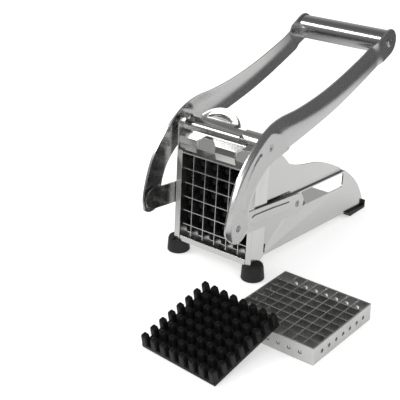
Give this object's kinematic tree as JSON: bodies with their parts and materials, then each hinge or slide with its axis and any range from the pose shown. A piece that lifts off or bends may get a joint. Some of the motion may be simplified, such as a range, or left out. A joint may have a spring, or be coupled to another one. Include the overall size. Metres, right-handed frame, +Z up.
{
  "type": "french fry cutter",
  "caption": "Lever-operated stainless steel french fry cutter with a pusher, a fitted blade cassette, and a spare blade cassette and pusher.",
  "frame": {"origin": "middle of the footprint of the machine and its spare parts, on the surface they stand on", "axes": "+X across the machine towards its right side seen from behind the grip, +Y from the blades to the grip, +Z up"},
  "size_m": [0.2046, 0.353, 0.1766],
  "materials": {
    "body_steel": "brushed stainless sheet",
    "arm_steel": "satin polished pressed steel",
    "grip_chrome": "polished tube",
    "fastener_steel": "turned steel",
    "blade_steel": "ground blade strip",
    "rubber_black": "matt moulded",
    "plastic_black": "fine satin moulded"
  },
  "bodies": {
    "body_frame": {"side_plate_right": "body_steel", "side_plate_left": "body_steel", "chamber_floor": "body_steel", "front_sill": "body_steel", "front_bridge": "body_steel", "pivot_axle": "fastener_steel", "pivot_bushes": "fastener_steel", "cassette_frame": "body_steel", "blades_vertical": "blade_steel", "blades_horizontal": "blade_steel", "front_foot_right": "rubber_black", "front_foot_left": "rubber_black", "rear_foot_right": "rubber_black", "rear_foot_left": "rubber_black"},
    "lever": {"arm_right": "arm_steel", "arm_left": "arm_steel", "grip_tube": "grip_chrome", "grip_plugs": "plastic_black", "grip_screws": "fastener_steel", "link_pivot_rivets": "fastener_steel"},
    "link_right_body": {"link_right": "body_steel", "rear_rivet_right": "fastener_steel"},
    "link_left_body": {"link_left": "body_steel", "rear_rivet_left": "fastener_steel"},
    "carriage_body": {"carriage": "body_steel", "carriage_pins": "fastener_steel", "pusher_36": "plastic_black", "pusher_screws": "fastener_steel"},
    "lock_body": {"lock_plate": "body_steel"},
    "spare_cassette": {"spare_cassette_frame": "body_steel", "spare_blades_long": "blade_steel", "spare_blades_cross": "blade_steel"},
    "spare_pusher_body": {"spare_pusher": "plastic_black"}
  },
  "joints": [
    {"name": "lever_pivot", "type": "hinge", "parent": "body_frame", "child": "lever", "pos_m": [-0.05058, -0.01985, 0.11677], "axis": [1, 0, 0], "range_deg": [0, 65]},
    {"name": "link_right_pivot", "type": "hinge", "parent": "lever", "child": "link_right_body", "pos_m": [-0.00658, -0.06182, 0.05996], "axis": [1, 0, 0], "range_deg": [-65, 0]},
    {"name": "link_left_pivot", "type": "hinge", "parent": "lever", "child": "link_left_body", "pos_m": [-0.09458, -0.06182, 0.05996], "axis": [1, 0, 0], "range_deg": [-65, 0]},
    {"name": "carriage_slide", "type": "slide", "parent": "body_frame", "child": "carriage_body", "axis": [0, 0.9976, -0.0698], "range_m": [0, 0.0758]},
    {"name": "lock_plate_hinge", "type": "hinge", "parent": "body_frame", "child": "lock_body", "pos_m": [-0.05058, -0.01985, 0.11677], "axis": [-1, 0, 0], "range_deg": [0, 30]},
    {"name": "spare_cassette_lift", "type": "slide", "parent": "body_frame", "child": "spare_cassette", "axis": [0, 0, 1], "range_m": [0, 0.08]},
    {"name": "spare_pusher_lift", "type": "slide", "parent": "spare_cassette", "child": "spare_pusher_body", "axis": [0, 0, 1], "range_m": [0, 0.08]}
  ],
  "couplings": [
    {"joint": "link_right_pivot", "follows": "lever_pivot", "ratio": -1},
    {"joint": "link_left_pivot", "follows": "lever_pivot", "ratio": -1},
    {"joint": "carriage_slide", "follows": "lever_pivot", "m_per_rad": 0.066816}
  ]
}
